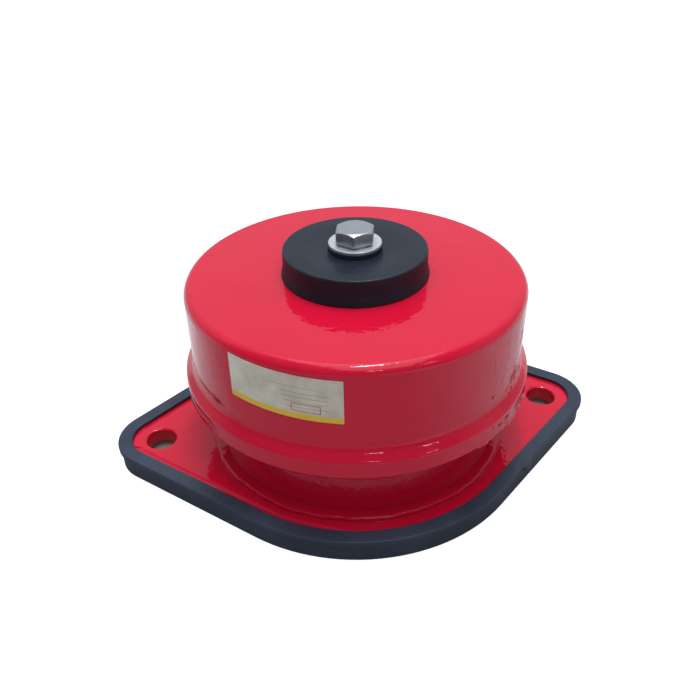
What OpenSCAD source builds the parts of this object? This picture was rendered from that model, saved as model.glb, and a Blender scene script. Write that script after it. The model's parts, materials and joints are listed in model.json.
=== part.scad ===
// Spring vibration isolator: a pressed cap that floats on a coil spring over a flanged, rubber-booted base.
// The frame is Z up, with the origin on the floor under the spring's axis and X along the two bolt holes.

/* [Spring] */
// Diameter of the spring's wire
wire_d = 12; // [8:0.5:14]
// Mean diameter of the coil
coil_d = 104; // [90:1:118]
// Number of coils, with the closed ends
coils = 4; // [3.5:0.25:5]
// Gap between each closed end and the next coil
coil_gap = 0.6; // [0.4:0.1:1.5]
// Thickness of the rubber pads that the spring stands between
spring_pad_t = 4; // [2:0.5:6]
// Height of the rings that centre the spring's ends
guide_h = 12; // [8:0.5:16]
// Thickness of those rings
guide_wall = 3; // [2:0.25:5]

/* [Lower sleeve] */
// Room between the coil and the sleeve
coil_clear = 3; // [2:0.5:10]
// Thickness of the sleeve's wall
sleeve_wall = 4; // [2.5:0.25:5]
// How far the sleeve's foot flares out past its straight part
foot_flare = 2; // [0.5:0.25:2.5]
// Height of that flare
flare_h = 18; // [14:0.5:19]
// Inside radius of the bend at the sleeve's turned-out rim
rim_bend_r = 1.5; // [0.5:0.25:2]
// Leg of the weld round the sleeve's foot
weld_leg = 3.5; // [2:0.25:6]

/* [Cap] */
// Height of the cap, from the lip's lower edge to its flat top
cap_h = 50; // [44:0.5:60]
// Thickness of the cap's sheet
cap_t = 3; // [2:0.25:3.5]
// Outside radius of the cap's top edge
cap_edge_r = 4; // [3.75:0.25:7]
// How far the swaged lip stands out from the cap's wall
lip_step = 4; // [3:0.25:5]
// Height of the lip's straight band, from its lower edge
lip_h = 8; // [7.5:0.25:10]
// Height of the sloping shoulder above the band
shoulder_h = 4; // [3.5:0.25:6]
// Clear height from the plate to the lip's lower edge
lip_clear = 33; // [28:0.5:40]
// Outside bend radius of the joggle
joggle_r = 2; // [1:0.25:2.25]
// Outside radius of the soft bend from the wall into the shoulder
neck_bend_r = 5; // [2:0.25:5]
// How far the lip's lower edge is rolled in
roll_in = 4.5; // [3.5:0.25:6]

/* [Damping and stop rings] */
// Width of the slot between the sleeve and the cap's wall
slot_w = 8; // [7:0.25:10]
// Thickness of the steel ring that keeps the cap on the sleeve
retainer_t = 3; // [2:0.25:4]
// Thickness of the rubber friction ring above it
friction_t = 5; // [4:0.25:5.5]
// Thickness of the rubber rebound ring above that
rebound_t = 4; // [2:0.25:6]

/* [Base plate] */
// Distance between the two floor bolt holes
hole_spacing = 195; // [185:1:220]
// Diameter of the floor bolt holes
hole_d = 14; // [11:0.5:18]
// Thickness of the diamond-shaped plate
plate_t = 8; // [5:0.5:12]
// Radius of the plate's rounded ends, about each bolt hole
plate_end_r = 16.5; // [14:0.5:20]
// How far the plate's middle reaches past the sleeve's foot
plate_reach = 14; // [12:0.5:18]

/* [Rubber boot] */
// Rubber under the plate
boot_floor = 2; // [1.5:0.25:6]
// Rubber beside the plate
boot_wall = 3; // [1.5:0.25:4]
// Height of the boot's lip above the plate
boot_lip_t = 2; // [1:0.25:4]
// How far the lip reaches in over the plate
boot_lip_over = 2.8; // [1:0.1:5]
// How far the lip stands out past the boot's side
boot_brim = 1; // [0.5:0.25:3]
// Thickness of that brim
boot_brim_t = 2.5; // [1:0.25:4]
// Length of the moulding tab left on the brim
tab_len = 5; // [3:0.5:10]
// How far the tab stands out
tab_out = 0.8; // [0.4:0.1:1.5]
// Distance of the tab along the brim's straight side
tab_along = 22; // [10:1:50]

/* [Top pad and bolt] */
// Diameter of the top rubber pad, at its lower edge
pad_d = 66; // [55:0.5:80]
// How much the pad narrows above its flared foot, across the diameter
pad_draft = 2; // [0.5:0.25:3]
// Height of the pad's flared foot
pad_foot_h = 5; // [3:0.25:5]
// Thickness of the pad
pad_t = 12; // [9:0.5:20]
// Radius of the pad's upper edge
pad_edge_r = 0.8; // [0.4:0.1:2]
// Height of the raised seat under the washer
seat_h = 1.25; // [0.5:0.25:4]
// How far the seat reaches past the washer
seat_margin = 0.2; // [0.1:0.05:2]
// Thread diameter of the machine bolt
bolt_d = 10; // [8:1:12]
// Length of the bolt under its head
bolt_len = 40; // [30:1:50]
// Chamfer at the bolt's tip
tip_chamfer = 1.5; // [0.5:0.25:2.5]
// Hexagon of the bolt and the nut, across flats
hex_af = 16; // [16:0.5:20]
// Diameter of the flat on the bolt's head
head_flat_d = 14.8; // [14:0.1:15.8]
// Slope of the chamfer round that flat
head_chamfer = 22; // [15:1:30]
// Height of the round face under the head
head_face_t = 0.4; // [0.2:0.1:0.6]
// Height of the bolt's head
head_h = 6.6; // [5:0.1:10]
// How far the bolt's hexagon is turned
bolt_turn = 16; // [0:1:59]
// Outside diameter of the flat washer
washer_d = 23.5; // [23:0.5:30]
// Thickness of the flat washer
washer_t = 1.3; // [1:0.1:4]
// Height of the nut welded under the cap
nut_h = 8.4; // [6:0.1:12]

/* [Clearances] */
// Gap between faces that slide or move past each other
slide_gap = 0.4; // [0.3:0.05:0.6]
// Gap round pieces that drop into a seat
seat_gap = 0.2; // [0.1:0.05:0.4]
// Extra radius of a hole round the bolt's shank
bolt_gap = 0.5; // [0.3:0.1:1]
// Gap round the bolt's thread in the nut
thread_gap = 0.05; // [0.02:0.01:0.1]

/* [Hidden] */

$fn = 96;
BEND_STEPS = 6;
OUTLINE_STEP = 6;
CUT = 1;
PAD_FOOT_BEND = 6;
PAINT_RED = [0.816, 0.075, 0.2];
RUBBER = [0.11, 0.115, 0.13];
ZINC = [0.72, 0.74, 0.76];
STEEL = [0.42, 0.43, 0.45];

hole_x = hole_spacing / 2;
plate_top = boot_floor + plate_t;
brim_out = boot_wall + boot_brim;

coil_bore = (coil_d - wire_d) / 2;
guide_r = coil_bore - slide_gap;
spring_pad_r = coil_bore + wire_d + slide_gap;

sleeve_bore = coil_bore + wire_d + coil_clear;
sleeve_r = sleeve_bore + sleeve_wall;
foot_r = sleeve_r + foot_flare;
plate_mid_r = foot_r + plate_reach;

cap_bore = sleeve_r + slot_w;
cap_r = cap_bore + cap_t;
lip_bore = cap_bore + lip_step;
lip_r = cap_r + lip_step;
lip_bottom = plate_top + lip_clear;
lip_top = lip_bottom + lip_h;
wall_bottom = lip_top + shoulder_h;
cap_top = lip_bottom + cap_h;
cap_ceiling = cap_top - cap_t;
shoulder_lean = atan(lip_step / shoulder_h);
shoulder_shift = cap_t * tan(shoulder_lean / 2);
roll_t = cap_t / 2;

flange_r = cap_bore - slide_gap;
retainer_z = lip_bottom + roll_t;
friction_z = retainer_z + retainer_t;
rebound_z = friction_z + friction_t;
rim_bottom = rebound_z + rebound_t + slide_gap;
sleeve_top = rim_bottom + sleeve_wall;

spring_foot = plate_top + spring_pad_t;
spring_head = cap_ceiling - spring_pad_t;
closed_rise = wire_d + coil_gap;
active_pitch = (spring_head - spring_foot - 2 * closed_rise) / (coils - 2);
ring_count = ceil(coils * 30);
wire_sides = 12;

seat_r = washer_d / 2 + seat_margin;
pad_neck_r = (pad_d - pad_draft) / 2;
pad_top = cap_top + pad_t;
washer_z = pad_top + seat_h;
head_z = washer_z + washer_t;
shank_hole = bolt_d / 2 + bolt_gap;

function unit(v) = v / norm(v);

// The corner p between neighbours a and b, rounded to radius r
function round_corner(a, p, b, r) =
    r <= 0 ? [p] :
    let (
        to_a = unit(a - p),
        to_b = unit(b - p),
        half = acos(to_a * to_b) / 2,
        centre = p + unit(to_a + to_b) * r / sin(half),
        first = p + to_a * r / tan(half) - centre,
        last = p + to_b * r / tan(half) - centre,
        start = atan2(first[1], first[0]),
        turn = (atan2(last[1], last[0]) - start + 540) % 360 - 180
    )
    [for (i = [0:BEND_STEPS]) let (angle = start + turn * i / BEND_STEPS) centre + r * [cos(angle), sin(angle)]];

// A closed outline of [x, y, corner radius] points with its corners rounded
function rounded(points) =
    let (count = len(points))
    [for (i = [0:count - 1])
        let (
            before = points[(i + count - 1) % count],
            here = points[i],
            after = points[(i + 1) % count]
        )
        each round_corner([before[0], before[1]], [here[0], here[1]], [after[0], after[1]], here[2])];

module turned(points) {
    rotate_extrude() polygon(rounded(points));
}

function arc(x, r, from, to) =
    let (steps = ceil(abs(to - from) / OUTLINE_STEP))
    [for (i = [0:steps]) let (angle = from + (to - from) * i / steps) [x + r * cos(angle), r * sin(angle)]];

// Direction that the diamond's straight sides face
side_lean = acos((plate_mid_r - plate_end_r) / hole_x);

// The diamond flange: two round ends and a round middle, joined by their tangents, grown by an offset
module diamond(grow) {
    mid_r = plate_mid_r + grow;
    end_r = plate_end_r + grow;
    lean = side_lean;
    polygon(concat(
        arc(hole_x, end_r, -lean, lean),
        arc(0, mid_r, lean, 180 - lean),
        arc(-hole_x, end_r, 180 - lean, 180 + lean),
        arc(0, mid_r, 180 + lean, 360 - lean)
    ));
}

module slab(grow, z, h) {
    translate([0, 0, z]) linear_extrude(h) diamond(grow);
}

module floor_holes(r, z, h) {
    for (side = [-1, 1]) translate([side * hole_x, 0, z]) cylinder(r = r, h = h);
}

// Base

// A small tab of moulding flash on the brim's front right side
module moulding_tab(z) {
    rotate([0, 0, -side_lean]) translate([plate_mid_r + boot_wall, tab_along - tab_len / 2, z])
        cube([boot_brim + tab_out, tab_len, boot_brim_t]);
}

// A tray round the plate, with a lip over the plate's edge and a brim round the outside
module base_boot() {
    boot_top = plate_top + boot_lip_t;
    color(RUBBER) difference() {
        union() {
            slab(boot_wall, 0, boot_top - boot_brim_t);
            slab(brim_out, boot_top - boot_brim_t, boot_brim_t);
            moulding_tab(boot_top - boot_brim_t);
        }
        slab(seat_gap, boot_floor, plate_t);
        slab(-boot_lip_over, plate_top - CUT, boot_lip_t + 2 * CUT);
        floor_holes(hole_d / 2 + bolt_gap, -CUT, boot_floor + 2 * CUT);
    }
}

module base_plate() {
    color(PAINT_RED) difference() {
        slab(0, boot_floor, plate_t);
        floor_holes(hole_d / 2, boot_floor - CUT, plate_t + 2 * CUT);
    }
}

// A tube with a flared foot, and its upper rim turned out so that the cap can't be pushed off it
module lower_sleeve() {
    color(PAINT_RED) turned([
        [sleeve_bore, plate_top, 0],
        [foot_r, plate_top, 0],
        [sleeve_r, plate_top + flare_h, 0],
        [sleeve_r, rim_bottom, rim_bend_r],
        [flange_r, rim_bottom, 0],
        [flange_r, sleeve_top, 0],
        [sleeve_bore, sleeve_top, rim_bend_r + sleeve_wall],
    ]);
}

// A hollow fillet that runs from the plate up to the sleeve's sloping foot
module sleeve_weld() {
    flare_lean = atan(foot_flare / flare_h);
    bend_r = weld_leg * tan((90 + flare_lean) / 2);
    centre = [foot_r + weld_leg, plate_top + bend_r];
    color(PAINT_RED) rotate_extrude() polygon(concat(
        [[foot_r, plate_top]],
        [for (i = [0:BEND_STEPS]) let (angle = 270 - (90 - flare_lean) * i / BEND_STEPS)
            centre + bend_r * [cos(angle), sin(angle)]]
    ));
}

// Spring

module guide_ring(z) {
    color(STEEL) translate([0, 0, z]) difference() {
        cylinder(r = guide_r, h = guide_h);
        translate([0, 0, -CUT]) cylinder(r = guide_r - guide_wall, h = guide_h + 2 * CUT);
    }
}

module spring_pad(z) {
    color(RUBBER) translate([0, 0, z]) difference() {
        cylinder(r = spring_pad_r, h = spring_pad_t);
        translate([0, 0, -CUT]) cylinder(r = guide_r + seat_gap, h = spring_pad_t + 2 * CUT);
    }
}

module lower_spring_guide() {
    guide_ring(plate_top);
}

module lower_spring_pad() {
    spring_pad(plate_top);
}

// Height of the wire's centre after so many turns: each end coil eases flat onto its neighbour
function wire_height(turn) =
    let (ease = active_pitch / closed_rise)
    turn < 1 ? spring_foot + closed_rise * pow(turn, ease) :
    turn > coils - 1 ? spring_head - closed_rise * pow(coils - turn, ease) :
    spring_foot + closed_rise + active_pitch * (turn - 1);

// One ring of points round the wire, with what lies past the ground ends brought back to them
function wire_ring(turn) =
    [for (side = [0:wire_sides - 1])
        let (
            angle = (side + 0.5) * 360 / wire_sides,
            r = (coil_d + wire_d * cos(angle)) / 2,
            z = wire_height(turn) + wire_d / 2 * sin(angle)
        )
        [r * cos(360 * turn), r * sin(360 * turn), min(max(z, spring_foot), spring_head)]];

module coil_spring() {
    points = [for (ring = [0:ring_count]) each wire_ring(coils * ring / ring_count)];
    sides = [for (ring = [0:ring_count - 1], side = [0:wire_sides - 1])
        let (here = ring * wire_sides, next = (side + 1) % wire_sides)
        [here + side, here + wire_sides + side, here + wire_sides + next, here + next]];
    first_end = [for (side = [0:wire_sides - 1]) side];
    last_end = [for (side = [wire_sides - 1:-1:0]) ring_count * wire_sides + side];
    color(STEEL) polyhedron(points, concat(sides, [first_end, last_end]), convexity = 10);
}

// Cap

// A drawn cup whose mouth is swaged out into a lip and rolled in under the stop rings
module cap() {
    inner_edge_r = cap_edge_r - cap_t;
    inner_neck_r = neck_bend_r + cap_t;
    color(PAINT_RED) turned([
        [shank_hole, cap_ceiling, 0],
        [cap_bore, cap_ceiling, inner_edge_r],
        [cap_bore, wall_bottom - shoulder_shift, inner_neck_r],
        [lip_bore, lip_top - shoulder_shift, joggle_r / 2],
        [lip_bore, retainer_z, 0],
        [lip_r - roll_in, retainer_z, 0],
        [lip_r - roll_in, lip_bottom, 0],
        [lip_r, lip_bottom, roll_t / 2],
        [lip_r, lip_top, joggle_r],
        [cap_r, wall_bottom, neck_bend_r],
        [cap_r, cap_top, cap_edge_r],
        [shank_hole, cap_top, 0],
    ]);
}

module stop_ring(inner_r, outer_r, z, h) {
    translate([0, 0, z]) difference() {
        cylinder(r = outer_r, h = h);
        translate([0, 0, -CUT]) cylinder(r = inner_r, h = h + 2 * CUT);
    }
}

module retainer_ring() {
    color(STEEL) stop_ring(sleeve_r + 2 * slide_gap, lip_bore - seat_gap, retainer_z, retainer_t);
}

// Inside radius of the sloping shoulder at a height
function shoulder_bore(z) = lip_bore - (z - lip_top + shoulder_shift) * lip_step / shoulder_h;

// A moulded ring that fills the joggle, with its outer edge cut to the shoulder's slope
module friction_ring() {
    slope_gap = 2 * seat_gap;
    slope_start = lip_top - shoulder_shift - slope_gap;
    color(RUBBER) turned([
        [sleeve_r + slide_gap, friction_z, 0],
        [lip_bore - seat_gap, friction_z, 0],
        [lip_bore - seat_gap, slope_start, 0],
        [shoulder_bore(rebound_z) - slope_gap, rebound_z, 0],
        [sleeve_r + slide_gap, rebound_z, 0],
    ]);
}

module rebound_ring() {
    color(RUBBER) stop_ring(sleeve_r + 2 * slide_gap, flange_r, rebound_z, rebound_t);
}

module upper_spring_guide() {
    guide_ring(cap_ceiling - guide_h);
}

module upper_spring_pad() {
    spring_pad(cap_ceiling - spring_pad_t);
}

// Top pad and bolt

module hexagon(h) {
    rotate([0, 0, bolt_turn]) cylinder(r = hex_af / sqrt(3), h = h, $fn = 6);
}

// A cone that trims the corners of a hexagon's outer face, wide side down
module corner_trim(h) {
    slope = tan(head_chamfer);
    cylinder(r1 = head_flat_d / 2 + h / slope, r2 = head_flat_d / 2, h = h);
}

module weld_nut() {
    nut_z = cap_ceiling - nut_h;
    color(STEEL) translate([0, 0, nut_z]) difference() {
        intersection() {
            hexagon(nut_h);
            mirror([0, 0, 1]) translate([0, 0, -nut_h]) corner_trim(nut_h);
        }
        translate([0, 0, -CUT]) cylinder(r = bolt_d / 2 + thread_gap, h = nut_h + 2 * CUT);
    }
}

module top_pad() {
    color(RUBBER) turned([
        [shank_hole, cap_top, 0],
        [pad_d / 2, cap_top, 0],
        [pad_neck_r, cap_top + pad_foot_h, PAD_FOOT_BEND],
        [pad_neck_r, pad_top, pad_edge_r],
        [seat_r, pad_top, 0],
        [seat_r, washer_z, 0],
        [shank_hole, washer_z, 0],
    ]);
}

module flat_washer() {
    color(ZINC) stop_ring(shank_hole, washer_d / 2, washer_z, washer_t);
}

module machine_bolt() {
    tip_z = head_z - bolt_len;
    color(ZINC) union() {
        translate([0, 0, head_z]) intersection() {
            union() {
                cylinder(r = head_flat_d / 2, h = head_h);
                translate([0, 0, head_face_t]) hexagon(head_h - head_face_t);
            }
            corner_trim(head_h);
        }
        turned([
            [0, tip_z, 0],
            [bolt_d / 2 - tip_chamfer, tip_z, 0],
            [bolt_d / 2, tip_z + tip_chamfer, 0],
            [bolt_d / 2, head_z + head_h / 2, 0],
            [0, head_z + head_h / 2, 0],
        ]);
    }
}

base_boot();
base_plate();
lower_sleeve();
sleeve_weld();
lower_spring_guide();
lower_spring_pad();
coil_spring();
cap();
retainer_ring();
friction_ring();
rebound_ring();
upper_spring_guide();
upper_spring_pad();
weld_nut();
top_pad();
flat_washer();
machine_bolt();
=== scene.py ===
"""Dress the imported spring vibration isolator: red enamelled steel, black rubber and a zinc-plated bolt.

Lengths are metres in the part's own frame: Z up, the origin on the floor under the spring's axis, and X
along the line of the bolt holes.
"""

import json
import logging
import math
from dataclasses import dataclass, field
from enum import Enum
from typing import Any, Callable, Mapping, Optional, Sequence

import bmesh
import bpy
import numpy as np
from mathutils import Matrix, Vector


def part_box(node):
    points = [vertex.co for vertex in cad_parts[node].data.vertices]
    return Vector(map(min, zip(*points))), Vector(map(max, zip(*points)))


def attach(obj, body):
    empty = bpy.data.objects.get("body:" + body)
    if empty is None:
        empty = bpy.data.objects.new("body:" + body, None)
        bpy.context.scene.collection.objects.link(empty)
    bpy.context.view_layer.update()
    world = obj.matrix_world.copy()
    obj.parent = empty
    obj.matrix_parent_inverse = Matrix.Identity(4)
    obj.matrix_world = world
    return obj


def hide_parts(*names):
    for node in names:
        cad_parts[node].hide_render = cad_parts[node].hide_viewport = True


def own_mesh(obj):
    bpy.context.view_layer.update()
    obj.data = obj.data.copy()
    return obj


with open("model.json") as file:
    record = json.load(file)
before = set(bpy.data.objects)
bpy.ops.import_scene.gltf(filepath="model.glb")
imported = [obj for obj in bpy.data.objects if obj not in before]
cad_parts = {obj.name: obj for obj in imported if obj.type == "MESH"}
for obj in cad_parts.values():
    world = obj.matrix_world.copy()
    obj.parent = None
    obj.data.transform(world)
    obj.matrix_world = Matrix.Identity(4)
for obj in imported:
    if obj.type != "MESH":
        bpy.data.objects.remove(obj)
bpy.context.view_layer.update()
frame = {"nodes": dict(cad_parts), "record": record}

MM = 0.001
LOG = logging.getLogger("isolator")

# Angle in degrees above which an edge is shaded sharp.
SHARP_EDGE = 40.0
# Values that most of a noise pattern lies between.
NOISE_SPAN = (0.3, 0.7)
WHITE = "FFFFFF"

Ring = list[bmesh.types.BMVert]
Corner = tuple[float, float, float]
Span = tuple[float, float]
Swell = Callable[[np.ndarray, np.ndarray, float, float], np.ndarray]
RingShape = Callable[[float, float, np.ndarray], tuple[np.ndarray, np.ndarray]]


class Body(Enum):
    """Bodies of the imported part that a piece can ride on."""

    BASE = "base"
    TOP = "top"


class Slot(Enum):
    """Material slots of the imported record."""

    PAINT = "red_paint"
    RUBBER = "black_rubber"
    ZINC = "zinc_plate"
    STEEL = "oiled_steel"
    PAPER = "paper_label"


# Outlines and meshes


def round_corner(before: np.ndarray, here: np.ndarray, after: np.ndarray,
                 radius: float, steps: int) -> np.ndarray:
    """Round one corner of an outline.

    Args:
        before: point before the corner.
        here: the corner itself.
        after: point after the corner.
        radius: radius of the rounding, 0 for a sharp corner.
        steps: number of straight steps round the corner.

    Returns:
        Points of the rounded corner, in order.
    """
    if radius <= 0:
        return here[None, :]
    to_before = (before - here) / np.linalg.norm(before - here)
    to_after = (after - here) / np.linalg.norm(after - here)
    half = math.acos(float(np.clip(to_before @ to_after, -1, 1))) / 2
    middle = to_before + to_after
    centre = here + middle / np.linalg.norm(middle) * radius / math.sin(half)
    first = here + to_before * radius / math.tan(half) - centre
    last = here + to_after * radius / math.tan(half) - centre
    start = math.atan2(first[1], first[0])
    turn = (math.atan2(last[1], last[0]) - start + math.pi) % (2 * math.pi) - math.pi
    angles = start + turn * np.linspace(0, 1, steps + 1)
    return centre + radius * np.column_stack((np.cos(angles), np.sin(angles)))


def outline(corners: Sequence[Corner], closed: bool, steps: int = 6, longest: float = 4 * MM) -> np.ndarray:
    """Draw an outline through (across, up, corner radius) points, and cut its straight runs into steps.

    Args:
        corners: the outline's corners.
        closed: whether the last corner joins the first.
        steps: number of straight steps round each corner.
        longest: longest step on a straight run.

    Returns:
        Points of the outline, two numbers each.
    """
    places = [np.array(corner[:2], float) for corner in corners]
    count = len(corners)
    points: list[np.ndarray] = []
    for i, corner in enumerate(corners):
        at_end = not closed and i in (0, count - 1)
        radius = 0.0 if at_end else corner[2]
        points.extend(round_corner(places[i - 1], places[i], places[(i + 1) % count], radius, steps))
    path = points + [points[0]] if closed else points
    filled: list[np.ndarray] = []
    for here, there in zip(path, path[1:]):
        cuts = max(1, math.ceil(np.linalg.norm(there - here) / longest))
        filled.extend(here + (there - here) * k / cuts for k in range(cuts))
    if not closed:
        filled.append(path[-1])
    return np.array(filled)


def turn_points(radius: np.ndarray, height: np.ndarray, angles: np.ndarray) -> np.ndarray:
    """Place points about the spring's axis.

    Args:
        radius: radius of each point, or of all.
        height: height of each point, or of all.
        angles: angle of each point.

    Returns:
        The points, three numbers each.
    """
    shape = np.broadcast(radius, height, angles).shape
    return np.column_stack((
        np.broadcast_to(radius * np.cos(angles), shape),
        np.broadcast_to(radius * np.sin(angles), shape),
        np.broadcast_to(height, shape),
    ))


def full_turn(count: int) -> np.ndarray:
    """Angles of so many equal steps round a full turn."""
    return np.linspace(0, 2 * math.pi, count, endpoint=False)


def hump(distance: np.ndarray, width: float) -> np.ndarray:
    """A smooth bump that is 1 at no distance and fades to nothing over about twice the width."""
    return np.exp(-((distance / width) ** 2))


def angle_between(a: np.ndarray, b: float) -> np.ndarray:
    """Signed difference of two angles, the short way round."""
    return (a - b + math.pi) % (2 * math.pi) - math.pi


class Shell:
    """A mesh in the making: rings of points skinned with quads, and flat faces with holes in them."""

    def __init__(self) -> None:
        """Start with an empty mesh."""
        self.mesh = bmesh.new()

    def ring(self, points: np.ndarray) -> Ring:
        """Add a closed ring of points."""
        return [self.mesh.verts.new(point) for point in points]

    def skin(self, rings: Sequence[Ring], closed: bool = False) -> None:
        """Join each ring to the next with quads.

        Args:
            rings: rings of equal length, in order.
            closed: whether the last ring joins the first.
        """
        pairs = list(zip(rings, rings[1:]))
        if closed:
            pairs.append((rings[-1], rings[0]))
        for here, there in pairs:
            for i in range(len(here)):
                self.mesh.faces.new((here[i - 1], here[i], there[i], there[i - 1]))

    def flat(self, *rings: Ring) -> None:
        """Fill the flat face inside the first ring and outside the others.

        Args:
            rings: the face's edge, then the edges of its holes.
        """
        edges = []
        for ring in rings:
            for pair in zip(ring, ring[1:] + ring[:1]):
                edges.append(self.mesh.edges.get(pair) or self.mesh.edges.new(pair))
        bmesh.ops.triangle_fill(self.mesh, edges=edges, use_beauty=True)

    def turned(self, profile: np.ndarray, angles: np.ndarray, shape: Optional[RingShape] = None) -> None:
        """Revolve a closed profile about the spring's axis.

        Args:
            profile: (radius, height) points of the section.
            angles: angles of the steps round the axis.
            shape: function of (radius, height, angles) that returns the moved radius and height.
        """
        rings = []
        for radius, height in profile:
            moved = shape(radius, height, angles) if shape else (radius, height)
            rings.append(self.ring(turn_points(*moved, angles)))
        self.skin(rings, closed=True)

    def piece(self, name: str, sharp: float = SHARP_EDGE) -> bpy.types.Object:
        """Turn the mesh into a smooth-shaded object.

        Args:
            name: the piece's name.
            sharp: angle in degrees above which an edge stays sharp.

        Returns:
            The new object, linked to the scene.
        """
        bmesh.ops.recalc_face_normals(self.mesh, faces=self.mesh.faces)
        data = bpy.data.meshes.new(name)
        self.mesh.to_mesh(data)
        self.mesh.free()
        data.shade_smooth()
        data.set_sharp_from_angle(angle=math.radians(sharp))
        made = bpy.data.objects.new(name, data)
        bpy.context.scene.collection.objects.link(made)
        even = made.modifiers.new("even_normals", "WEIGHTED_NORMAL")
        even.keep_sharp = True
        return made


def seat(piece: bpy.types.Object, body: Body, slot: Slot, finish: bpy.types.Material,
         *nodes: str) -> bpy.types.Object:
    """Dress a piece, let it ride on its body and let it stand for its solids.

    Args:
        piece: the object to seat.
        body: body that it moves with.
        slot: material slot; not used.
        finish: its material.
        nodes: solids that it stands for.

    Returns:
        The same object.
    """
    piece.data.materials.append(finish)
    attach(piece, body.value)
    if nodes:
        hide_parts(*nodes)
    return piece


# Finishes


def linear(colour: str) -> tuple[float, float, float, float]:
    """Turn an sRGB hex colour into the linear colour that shaders take.

    Args:
        colour: six hex digits.

    Returns:
        Linear red, green and blue, with full alpha.
    """
    parts = [int(colour[i:i + 2], 16) / 255 for i in (0, 2, 4)]
    steps = [c / 12.92 if c <= 0.04045 else ((c + 0.055) / 1.055) ** 2.4 for c in parts]
    return (*steps, 1.0)


def per_metre(size: float) -> float:
    """Scale of a pattern whose features are so many metres apart."""
    return 1 / size


def add_node(tree: bpy.types.NodeTree, kind: str, inputs: Mapping[Any, Any],
             **settings: Any) -> bpy.types.Node:
    """Add a shader node with its settings and its links.

    Args:
        tree: node tree that takes the node.
        kind: node type, without the leading ShaderNode.
        inputs: sockets by name or number, each with a value or with another node's output.
        settings: the node's own settings.

    Returns:
        The new node.
    """
    made = tree.nodes.new("ShaderNode" + kind)
    for name, value in settings.items():
        setattr(made, name, value)
    for name, value in inputs.items():
        if isinstance(value, bpy.types.NodeSocket):
            tree.links.new(value, made.inputs[name])
        else:
            made.inputs[name].default_value = value
    return made


def new_material(name: str) -> tuple[bpy.types.Material, bpy.types.NodeTree]:
    """Make a material with an empty node tree.

    Args:
        name: the material's name.

    Returns:
        The material and its node tree.
    """
    made = bpy.data.materials.new(name)
    made.use_nodes = True
    made.node_tree.nodes.clear()
    return made, made.node_tree


def show(tree: bpy.types.NodeTree, shader: bpy.types.Node) -> None:
    """Send a shader to the tree's surface output."""
    add_node(tree, "OutputMaterial", {"Surface": shader.outputs[0]})


# Name of the value that says, point by point, how much painted shade a pit or gash in the cap's paint gets.
GASH_SHADE = "gash"


@dataclass(frozen=True)
class SprayedEnamel:
    """Alkyd enamel sprayed on drawn steel: a thick glossy coat, pebbled like orange peel."""

    colour: str = "D01336"
    thick_colour: str = "C20D2E"
    # Colour of the painted shade inside pits and gashes.
    gash_shade_colour: str = "2A050B"
    roughness: Span = (0.03, 0.07)
    gash_roughness: float = 0.9
    ior: float = 1.5
    peel: float = 2.6 * MM
    peel_depth: float = 0.11 * MM
    wave: float = 16 * MM
    wave_depth: float = 0.3 * MM
    nib: float = 11 * MM
    nib_share: float = 0.055
    nib_depth: float = 0.05 * MM

    def material(self) -> bpy.types.Material:
        """Reflections are sharp but wobble, with a few dust nibs; pits and gashes get painted shade, dark
        and dull.

        Returns:
            The material.
        """
        made, tree = new_material("sprayed_enamel_on_steel")
        place = add_node(tree, "TexCoord", {}).outputs["Object"]
        cloud, wave, peel = (
            add_node(tree, "TexNoise", {"Vector": place, "Scale": per_metre(size), "Detail": detail})
            for size, detail in ((self.wave * 2, 3.0), (self.wave, 1.0), (self.peel, 1.5))
        )
        speck = add_node(tree, "TexVoronoi", {"Vector": place, "Scale": per_metre(self.nib)})
        nib = add_node(tree, "MapRange", {
            "Value": speck.outputs["Distance"], "From Min": 0.0, "From Max": self.nib_share,
            "To Min": 1.0, "To Max": 0.0,
        }, interpolation_type="SMOOTHSTEP")
        gash = add_node(tree, "Attribute", {}, attribute_name=GASH_SHADE).outputs["Fac"]
        colour = add_node(tree, "Mix", {
            0: cloud.outputs["Fac"], 6: linear(self.colour), 7: linear(self.thick_colour),
        }, data_type="RGBA")
        # Painted shade: pits and gashes darken toward the shade colour.
        colour = add_node(tree, "Mix", {
            0: gash, 6: colour.outputs[2], 7: linear(self.gash_shade_colour),
        }, data_type="RGBA")
        rough = add_node(tree, "MapRange", {
            "Value": cloud.outputs["Fac"], "From Min": NOISE_SPAN[0], "From Max": NOISE_SPAN[1],
            "To Min": self.roughness[0], "To Max": self.roughness[1],
        })
        rough = add_node(tree, "Mix", {0: gash, 2: rough.outputs[0], 3: self.gash_roughness})
        bump = add_node(tree, "Bump", {"Height": wave.outputs["Fac"], "Distance": self.wave_depth})
        bump = add_node(tree, "Bump", {
            "Height": peel.outputs["Fac"], "Distance": self.peel_depth, "Normal": bump.outputs[0],
        })
        bump = add_node(tree, "Bump", {
            "Height": nib.outputs[0], "Distance": self.nib_depth, "Normal": bump.outputs[0],
        })
        show(tree, add_node(tree, "BsdfPrincipled", {
            "Base Color": colour.outputs[2], "Roughness": rough.outputs[0], "IOR": self.ior,
            "Normal": bump.outputs[0],
        }))
        return made


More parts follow.
